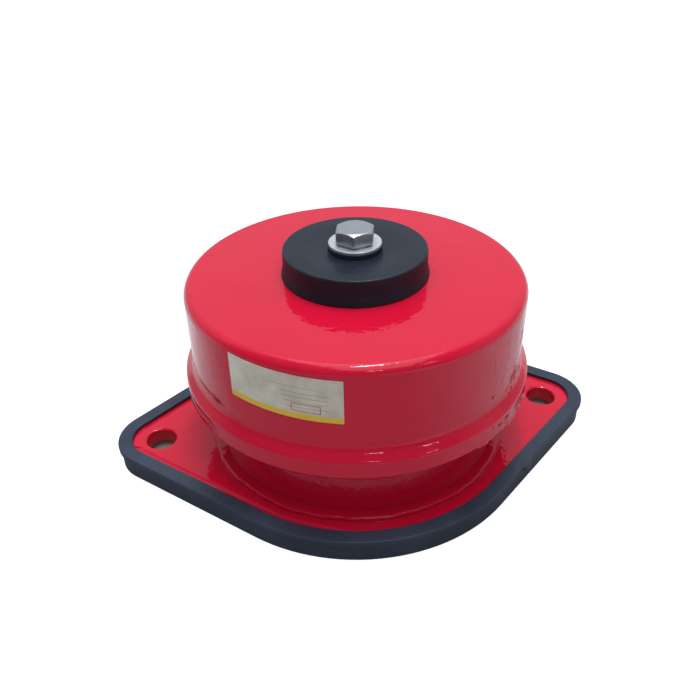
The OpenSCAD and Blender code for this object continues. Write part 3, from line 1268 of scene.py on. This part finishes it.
    def build(self) -> list[bpy.types.Object]:
        """Make the cap.

        Returns:
            The new piece.
        """
        shell = Shell()
        shell.turned(self.profile(), self.angles(), self.shaped)
        cap = shell.piece("painted_cap")
        self.paint_gash_shade(cap)
        return [seat(cap, Body.TOP, Slot.PAINT, self.finishes.paint, "cap")]

    def paint_gash_shade(self, cap: bpy.types.Object) -> None:
        """Store at each point of the outside how much painted shade a pit or gash puts there.

        Args:
            cap: the cap, which takes the value.
        """
        points = np.array([vertex.co for vertex in cap.data.vertices])
        angles = np.arctan2(points[:, 1], points[:, 0])
        painted_shade = np.zeros(len(points))
        for gash in (mark for mark in self.marks if mark.depth < 0):
            across = hump(angle_between(angles, math.radians(gash.angle)) * self.wall_r, gash.width * MM)
            painted_shade = np.maximum(painted_shade, across * hump(points[:, 2] - gash.height * MM, gash.length * MM))
        outside = np.hypot(points[:, 0], points[:, 1]) > self.wall_r - self.edge_r / 2
        cap.data.attributes.new(GASH_SHADE, "FLOAT", "POINT").data.foreach_set("value", painted_shade * outside)


@dataclass
class PaperLabel:
    """A blank paper label stuck on the cap's wall, a little askew."""

    cap: DrawnCap
    width: float = 49 * MM
    height: float = 20 * MM
    left_angle: float = math.radians(-139.8)
    foot: float = 69.2 * MM
    drop: float = 1.6 * MM
    thickness: float = 0.14 * MM
    glue: float = 0.02 * MM
    columns: int = 72
    rows: int = 30

    def sheet_points(self, lift: float) -> np.ndarray:
        """Lay points over the cap's wall, row by row from the label's foot.

        Args:
            lift: height of the points over the wall.

        Returns:
            The points, by row and column.
        """
        rows = []
        for up in np.linspace(0, self.height, self.rows + 1):
            across = np.linspace(0, self.width, self.columns + 1)
            angles = self.left_angle + across / self.cap.wall_r
            heights = self.foot + up - self.drop * across / self.width
            bend = np.clip(heights - (self.cap.top - self.cap.edge_r), 0, self.cap.edge_r)
            inward = self.cap.edge_r - np.sqrt(self.cap.edge_r ** 2 - bend ** 2)
            wave = np.array([self.cap.wave(h, np.array([a]))[0] for h, a in zip(heights, angles)])
            rows.append(turn_points(self.cap.wall_r + wave + lift - inward, heights, angles))
        return np.array(rows)

    def build(self) -> list[bpy.types.Object]:
        """Make the label as a thin closed sheet with its print laid out on the face.

        Returns:
            The new piece.
        """
        data = bpy.data.meshes.new("paper_label")
        front, back = self.sheet_points(self.thickness), self.sheet_points(self.glue)
        wide = self.columns + 1
        count = front.shape[0] * wide
        vertices = np.concatenate((front.reshape(-1, 3), back.reshape(-1, 3)))
        faces = []
        for row in range(self.rows):
            for column in range(self.columns):
                a = row * wide + column
                quad = (a, a + 1, a + wide + 1, a + wide)
                faces.append(quad)
                faces.append(tuple(count + v for v in reversed(quad)))
        border = list(range(self.columns))
        border += [row * wide + self.columns for row in range(self.rows)]
        border += [self.rows * wide + column for column in range(self.columns, 0, -1)]
        border += [row * wide for row in range(self.rows, 0, -1)]
        for here, there in zip(border, border[1:] + border[:1]):
            faces.append((there, here, count + here, count + there))
        data.from_pydata(vertices.tolist(), [], faces)
        layer = data.uv_layers.new(name="print")
        for loop in data.loops:
            row, column = divmod(loop.vertex_index % count, wide)
            layer.data[loop.index].uv = (column / self.columns, row / self.rows)
        data.shade_smooth()
        data.set_sharp_from_angle(angle=math.radians(SHARP_EDGE))
        label = bpy.data.objects.new("paper_label", data)
        bpy.context.scene.collection.objects.link(label)
        paper = VarnishedPaper(self.width, self.height).material()
        return [seat(label, Body.TOP, Slot.PAPER, paper)]


@dataclass
class TopPad:
    """The round rubber pad on the cap, dished round the low seat that carries the washer."""

    finishes: Finishes
    draft: float = 1 * MM
    foot_h: float = 5 * MM
    foot_bend: float = 9 * MM
    foot_edge: float = 0.3 * MM
    edge_r: float = 0.8 * MM
    seat_r: float = 11.95 * MM
    seat_h: float = 1.25 * MM
    seat_root: float = 0.3 * MM
    seat_edge: float = 0.2 * MM
    dish: float = 1.3 * MM
    dish_r: float = 24 * MM
    dish_bend: float = 60 * MM
    hole_r: float = 5.5 * MM
    segments: int = 240

    def build(self) -> list[bpy.types.Object]:
        """Make the pad.

        Returns:
            The new piece.
        """
        low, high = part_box("top_pad")
        face = high.z - self.seat_h
        shell = Shell()
        shell.turned(outline([
            (self.hole_r, low.z, 0),
            (high.x, low.z, self.foot_edge),
            (high.x - self.draft, low.z + self.foot_h, self.foot_bend),
            (high.x - self.draft, face, self.edge_r),
            (self.dish_r, face, self.dish_bend),
            (self.seat_r, face - self.dish, self.seat_root),
            (self.seat_r, high.z, self.seat_edge),
            (self.hole_r, high.z, 0),
        ], closed=True, longest=2 * MM), full_turn(self.segments))
        pad = shell.piece("rubber_top_pad")
        return [seat(pad, Body.TOP, Slot.RUBBER, self.finishes.rubber, "top_pad")]


@dataclass
class MachineBolt:
    """The hexagon bolt and its washer: forged chamfered head, full thread, punched washer."""

    finishes: Finishes
    across_flats: float = 16 * MM
    flat_d: float = 14.8 * MM
    head_h: float = 6.6 * MM
    face_t: float = 0.4 * MM
    bevel: float = 0.45 * MM
    turn: float = math.radians(16)
    corner_trim: float = 0.16 * MM
    sharp: float = 60.0
    edge_r: float = 0.25 * MM
    chamfer: float = math.radians(30)
    # The forged top is a little hollow: its depth at the edge, inside the edge and over the middle.
    hollow: tuple[float, float, float] = (0.02 * MM, 0.05 * MM, 0.08 * MM)
    thread_d: float = 10 * MM
    pitch: float = 1.5 * MM
    thread_depth: float = 0.85 * MM
    thread_flank: float = 1.15
    rings_per_pitch: int = 8
    tip_chamfer: float = 1.5 * MM
    columns: int = 24
    # Spacing of the columns at a flat's middle, and how it grows toward the corners.
    crowd: tuple[float, float] = (0.55, 1.8)
    washer_hole_r: float = 5.5 * MM
    washer_edge: float = 0.35 * MM
    washer_foot_edge: float = 0.1 * MM
    washer_segments: int = 160

    def hexagon(self, angles: np.ndarray) -> np.ndarray:
        """Draw the hexagon, with its corners slightly blunted.

        Args:
            angles: angles round the axis.

        Returns:
            The hexagon's radius at each angle.
        """
        from_flat = (angles - self.turn) % (math.pi / 3) - math.pi / 6
        corner = self.across_flats / math.sqrt(3) - self.corner_trim
        return np.minimum(self.across_flats / 2 / np.cos(from_flat), corner)

    def head(self, shell: Shell, foot: float, angles: np.ndarray) -> list[Ring]:
        """Add the head's rings, from its underside to the middle of its flat.

        Args:
            shell: mesh that takes the rings.
            foot: height of the head's underside.
            angles: angles round the axis.

        Returns:
            The rings, in order.
        """
        sides = self.hexagon(angles)
        flat_r, edge = self.flat_d / 2, self.edge_r
        slope = math.tan(self.chamfer)
        shoulder = foot + self.head_h - (sides - flat_r) * slope
        crown = foot + self.head_h
        under = foot + self.face_t
        # Each edge is rounded by rings at fractions of its bevel or radius.
        rings = [
            (flat_r, foot), (flat_r, under), (sides - self.bevel, under),
            (sides - self.bevel * 0.35, under + self.bevel * 0.3), (sides, under + self.bevel),
            (sides, shoulder - edge * 0.7), (sides - edge * 0.12, shoulder - edge * 0.12),
            (sides - edge * 0.6, shoulder + edge * 0.6 * slope),
        ]
        rings += [(sides * (1 - k) + flat_r * k, shoulder * (1 - k) + crown * k) for k in (0.4, 0.7, 0.9)]
        rings += [(flat_r - edge, crown - self.hollow[0]), (flat_r - 3 * edge, crown - self.hollow[1])]
        rings += [(flat_r * k, crown - self.hollow[2]) for k in (0.6, 0.3, 0.08)]
        return [shell.ring(turn_points(r, z, angles)) for r, z in rings]

    def shank(self, shell: Shell, foot: float, tip: float, angles: np.ndarray) -> list[Ring]:
        """Add the threaded shank's rings, from its tip to the head's underside.

        Args:
            shell: mesh that takes the rings.
            foot: height of the head's underside.
            tip: height of the shank's tip.
            angles: angles round the axis.

        Returns:
            The rings, in order.
        """
        heights = np.append(np.arange(tip, foot, self.pitch / self.rings_per_pitch), foot)
        rings = []
        for height in heights:
            phase = ((height - tip) / self.pitch - angles / (2 * math.pi)) % 1
            groove = self.thread_depth * (1 - np.abs(2 * phase - 1) * self.thread_flank).clip(0, 1)
            run_out = np.clip((foot - height) / self.pitch, 0, 1)
            limit = self.thread_d / 2 - max(0.0, self.tip_chamfer - (height - tip))
            rings.append(shell.ring(turn_points(
                np.minimum(self.thread_d / 2 - groove * run_out, limit), height, angles)))
        return rings

    def build(self) -> list[bpy.types.Object]:
        """Make the bolt and the washer.

        Returns:
            The new pieces.
        """
        low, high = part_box("machine_bolt")
        foot = high.z - self.head_h
        from_middle = (np.arange(self.columns) + 0.5) / self.columns - 0.5
        eased = from_middle * (self.crowd[0] + self.crowd[1] * from_middle ** 2) + 0.5
        angles = np.concatenate([self.turn + (facet + eased) * math.pi / 3 for facet in range(6)])
        bolt = Shell()
        rings = self.shank(bolt, foot, low.z, angles) + self.head(bolt, foot, angles)
        bolt.skin(rings)
        bolt.flat(rings[0])
        bolt.flat(rings[-1])
        low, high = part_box("flat_washer")
        edge = self.washer_edge
        washer = Shell()
        washer.turned(outline([
            (self.washer_hole_r, low.z, self.washer_foot_edge), (high.x, low.z, self.washer_foot_edge),
            (high.x, high.z, edge), (self.washer_hole_r, high.z, edge),
        ], closed=True), full_turn(self.washer_segments))
        made = bolt.piece("plated_bolt", sharp=self.sharp), washer.piece("plated_washer")
        return [
            seat(made[0], Body.TOP, Slot.ZINC, self.finishes.zinc, "machine_bolt"),
            seat(made[1], Body.TOP, Slot.ZINC, self.finishes.dull_zinc, "flat_washer"),
        ]


@dataclass
class InnerPieces:
    """The pieces closed in between the sleeve and the cap, which keep their solids and get a finish."""

    finishes: Finishes
    steel: tuple[str, ...] = ("lower_spring_guide", "upper_spring_guide", "retainer_ring", "weld_nut")
    rubber: tuple[str, ...] = ("lower_spring_pad", "upper_spring_pad", "friction_ring", "rebound_ring")

    def build(self) -> list[bpy.types.Object]:
        """Dress the inner solids.

        Returns:
            The dressed solids.
        """
        dressed = []
        for names, finish in ((self.steel, self.finishes.steel), (self.rubber, self.finishes.rubber)):
            for name in names:
                solid = frame["nodes"][name]
                solid.data.materials.clear()
                solid.data.materials.append(finish)
                dressed.append(solid)
        return dressed


# Studio


@dataclass(frozen=True)
class Viewpoint:
    """Where the camera stands: angles in degrees, and the lens on a sensor 36 mm wide."""

    azimuth: float = -9.17
    elevation: float = 34.57
    distance: float = 356.6 * MM
    aim_height: float = 45.6 * MM
    pan: float = 0.49
    tilt: float = 0.66
    roll: float = 0.68
    lens: float = 38.09

    def place(self) -> None:
        """Make the scene's camera."""
        azimuth, elevation = math.radians(self.azimuth), math.radians(self.elevation)
        back = Vector((math.sin(azimuth) * math.cos(elevation), -math.cos(azimuth) * math.cos(elevation),
                       math.sin(elevation)))
        turn = (-back).to_track_quat("-Z", "Y").to_matrix()
        for angle, axis in ((self.pan, "Y"), (self.tilt, "X"), (-self.roll, "Z")):
            turn = turn @ Matrix.Rotation(math.radians(angle), 3, axis)
        data = bpy.data.cameras.new("camera")
        data.lens = self.lens
        data.clip_start = 1 * MM
        camera = bpy.data.objects.new("camera", data)
        stand = Vector((0, 0, self.aim_height)) + back * self.distance
        camera.matrix_world = Matrix.Translation(stand) @ turn.to_4x4()
        bpy.context.scene.collection.objects.link(camera)
        bpy.context.scene.camera = camera


@dataclass(frozen=True)
class Lamp:
    """A flat lamp over the object: its place, its size and its power."""

    name: str
    place: tuple[float, float, float]
    size: tuple[float, float]
    watts: float
    aim_height: float = 60 * MM

    def hang(self) -> None:
        """Hang the lamp so that it shines at the cap."""
        data = bpy.data.lights.new(self.name, "AREA")
        data.shape = "RECTANGLE"
        data.size, data.size_y = self.size
        data.energy = self.watts
        lamp = bpy.data.objects.new(self.name, data)
        lamp.location = self.place
        aim = Vector((0, 0, self.aim_height)) - Vector(self.place)
        lamp.rotation_euler = aim.to_track_quat("-Z", "Y").to_euler()
        bpy.context.scene.collection.objects.link(lamp)


@dataclass(frozen=True)
class Glow:
    """A soft lit patch of the dome: the way to its middle, its level there and how it fades outward."""

    way: tuple[float, float, float]
    level: float
    fade: Span = (0.1, 0.95)


@dataclass(frozen=True)
class Studio:
    """A pale floor, a faint dome with soft glows over, behind and beside the object, and the lamps."""

    floor_size: float = 8.0
    floor_drop: float = 0.1 * MM
    floor_colour: str = "888C93"
    hole_floor_r: float = 12 * MM
    hole_floor_drop: float = 0.05 * MM
    # Painted shade for the floor seen through the bolt holes, and the faint glow that lifts it.
    hole_shade_colour: str = "7E766B"
    hole_shade_glow: float = 0.1
    bounce_colour: str = "C0C0C0"
    floor_lift: float = 0.9
    gloss_lift: float = 0.6
    gloss_edge: Span = (-20 * MM, 100 * MM)
    gloss_right: Span = (50 * MM, 170 * MM)
    right_lift: float = 0.32
    dome_colour: str = "F6F9FF"
    dome_level: float = 0.04
    glows: tuple[Glow, ...] = (
        Glow((0.0, 0.8, 0.6), 0.38), Glow((0.85, 0.25, 0.46), 0.32), Glow((-0.85, 0.0, 0.53), 0.32),
        Glow((0.0, 0.0, 1.0), 2.5, (0.78, 1.0)),
    )
    gloss_colour: str = "E9F0FA"
    gloss_front: float = 0.16
    gloss_back: float = 0.64
    gloss_side: float = 0.5
    gloss_turn: Span = (0.0, 0.45)
    side_turn: Span = (0.5, 0.95)
    gloss_low: float = 0.85
    gloss_rise: Span = (0.3, 0.55)
    lamps: tuple[Lamp, ...] = (
        Lamp("overhead_panel", (0.1, 0.0, 1.25), (2.0, 0.8), 5.5),
        Lamp("overhead_lamp_left", (0.07, 0.15, 1.2), (0.08, 0.36), 2.3),
        Lamp("overhead_lamp_right", (0.13, 0.2, 1.2), (0.025, 0.25), 0.6),
        Lamp("front_lamp", (0.016, -1.0, 0.88), (0.16, 0.03), 0.45),
        Lamp("side_lamp", (0.61, -0.78, 0.73), (0.16, 0.025), 0.32),
    )

    def floor_material(self) -> bpy.types.Material:
        """A matt floor that shows as white, mirrors as pale behind and on the right, and takes the shadow.

        Returns:
            The material.
        """
        made, tree = new_material("matt_studio_floor")
        path = add_node(tree, "LightPath", {}).outputs
        seen = add_node(tree, "Math", {
            0: path["Is Camera Ray"], 1: path["Is Transmission Ray"],
        }, operation="MAXIMUM")
        lift = add_node(tree, "Math", {0: seen.outputs[0], 1: self.floor_lift}, operation="MULTIPLY")
        place = add_node(tree, "SeparateXYZ", {0: add_node(tree, "NewGeometry", {}).outputs["Position"]})
        behind = add_node(tree, "MapRange", {
            "Value": place.outputs["Y"], "From Min": self.gloss_edge[0], "From Max": self.gloss_edge[1],
            "To Min": 0.0, "To Max": self.gloss_lift,
        })
        beside = add_node(tree, "MapRange", {
            "Value": place.outputs["X"], "From Min": self.gloss_right[0], "From Max": self.gloss_right[1],
            "To Min": 0.0, "To Max": self.right_lift,
        })
        lit = add_node(tree, "Math", {0: behind.outputs[0], 1: beside.outputs[0]}, operation="MAXIMUM")
        gloss = add_node(tree, "Math", {
            0: path["Is Glossy Ray"], 1: lit.outputs[0], 2: lift.outputs[0],
        }, operation="MULTIPLY_ADD")
        glow = add_node(tree, "Emission", {"Color": linear(WHITE), "Strength": gloss.outputs[0]})
        shown = add_node(tree, "Math", {0: seen.outputs[0], 1: path["Is Glossy Ray"]}, operation="MAXIMUM")
        tone = add_node(tree, "Mix", {
            0: shown.outputs[0], 6: linear(self.bounce_colour), 7: linear(self.floor_colour),
        }, data_type="RGBA")
        matt = add_node(tree, "BsdfDiffuse", {"Color": tone.outputs[2]})
        show(tree, add_node(tree, "AddShader", {0: glow.outputs[0], 1: matt.outputs[0]}))
        return made

    def hole_material(self) -> bpy.types.Material:
        """A darker disc of floor under each bolt hole: painted shade for the floor under the plate, with a
        faint glow of painted light.

        Returns:
            The material.
        """
        made, tree = new_material("painted_hole_shade")
        glow = add_node(tree, "Emission", {"Color": linear(self.hole_shade_colour), "Strength": self.hole_shade_glow})
        matt = add_node(tree, "BsdfDiffuse", {"Color": linear(self.hole_shade_colour)})
        show(tree, add_node(tree, "AddShader", {0: glow.outputs[0], 1: matt.outputs[0]}))
        return made

    def lay_floor(self, diamond: DiamondOutline) -> None:
        """Lay the floor, and the discs of painted shade that show through the bolt holes.

        Args:
            diamond: the base's outline, which places the holes.
        """
        wide = Shell()
        half = self.floor_size / 2
        corners = [(-half, -half, 0), (half, -half, 0), (half, half, 0), (-half, half, 0)]
        wide.flat(wide.ring(np.array(corners)))
        floor = wide.piece("floor")
        floor.location.z = -self.floor_drop
        floor.data.materials.append(self.floor_material())
        covered = Shell()
        for rings in diamond.hole_rings(covered, np.array([(self.hole_floor_r, -self.hole_floor_drop)])):
            covered.flat(rings[0])
        shade = covered.piece("painted_hole_shade")
        shade.data.materials.append(self.hole_material())

    def light(self) -> None:
        """Set the dome and hang the lamps; gloss mirrors cool pale walls behind and on the right."""
        world = bpy.data.worlds.new("studio_dome")
        world.use_nodes = True
        tree = world.node_tree
        tree.nodes.clear()
        path = add_node(tree, "LightPath", {}).outputs
        out = add_node(tree, "TexCoord", {}).outputs["Generated"]
        way = add_node(tree, "SeparateXYZ", {0: out})
        dome: Any = self.dome_level
        for glow in self.glows:
            near = add_node(tree, "VectorMath", {0: out, 1: glow.way}, operation="DOT_PRODUCT")
            patch = add_node(tree, "MapRange", {
                "Value": near.outputs["Value"], "From Min": glow.fade[0], "From Max": glow.fade[1],
                "To Min": 0.0, "To Max": glow.level,
            }, interpolation_type="SMOOTHSTEP")
            dome = add_node(tree, "Math", {0: dome, 1: patch.outputs[0]}, operation="ADD").outputs[0]
        wall = add_node(tree, "MapRange", {
            "Value": way.outputs["Y"], "From Min": self.gloss_turn[0], "From Max": self.gloss_turn[1],
            "To Min": self.gloss_front, "To Max": self.gloss_back,
        }, interpolation_type="SMOOTHSTEP")
        beside = add_node(tree, "MapRange", {
            "Value": way.outputs["X"], "From Min": self.side_turn[0], "From Max": self.side_turn[1],
            "To Min": 0.0, "To Max": self.gloss_side,
        }, interpolation_type="SMOOTHSTEP")
        wall = add_node(tree, "Math", {0: wall.outputs[0], 1: beside.outputs[0]}, operation="MAXIMUM")
        rise = add_node(tree, "MapRange", {
            "Value": way.outputs["Z"], "From Min": self.gloss_rise[0], "From Max": self.gloss_rise[1],
            "To Min": self.gloss_low, "To Max": 1.0,
        })
        wall = add_node(tree, "Math", {0: wall.outputs[0], 1: rise.outputs[0]}, operation="MULTIPLY")
        level = add_node(tree, "Mix", {0: path["Is Glossy Ray"], 2: dome, 3: wall.outputs[0]})
        tint = add_node(tree, "Mix", {
            0: path["Is Glossy Ray"], 6: linear(self.dome_colour), 7: linear(self.gloss_colour),
        }, data_type="RGBA")
        colour = add_node(tree, "VectorMath", {
            0: tint.outputs[2], "Scale": level.outputs[0],
        }, operation="SCALE")
        seen = add_node(tree, "Math", {
            0: path["Is Camera Ray"], 1: path["Is Transmission Ray"],
        }, operation="MAXIMUM")
        colour = add_node(tree, "Mix", {
            0: seen.outputs[0], 6: colour.outputs[0], 7: linear(WHITE),
        }, data_type="RGBA")
        sky = add_node(tree, "Background", {"Color": colour.outputs[2]})
        add_node(tree, "OutputWorld", {"Surface": sky.outputs[0]})
        bpy.context.scene.world = world
        for lamp in self.lamps:
            lamp.hang()


def main() -> None:
    """Build every sub-assembly in order, then the studio round them."""
    logging.basicConfig(level=logging.INFO, format="%(name)s: %(message)s")
    bpy.context.scene.view_settings.view_transform = "Standard"
    finishes = Finishes.made()
    diamond = DiamondOutline.from_frame()
    cap = DrawnCap(finishes)
    assemblies = [
        RubberBoot(finishes, diamond), DiamondPlate(finishes, diamond), LowerSleeve(finishes),
        CoilSpring(finishes), cap, PaperLabel(cap), TopPad(finishes), MachineBolt(finishes),
        InnerPieces(finishes),
    ]
    for assembly in assemblies:
        for piece in assembly.build():
            LOG.info("%s: %s, %d faces", type(assembly).__name__, piece.name, len(piece.data.polygons))
    studio = Studio()
    studio.lay_floor(diamond)
    studio.light()
    Viewpoint().place()


if __name__ == "__main__":
    main()
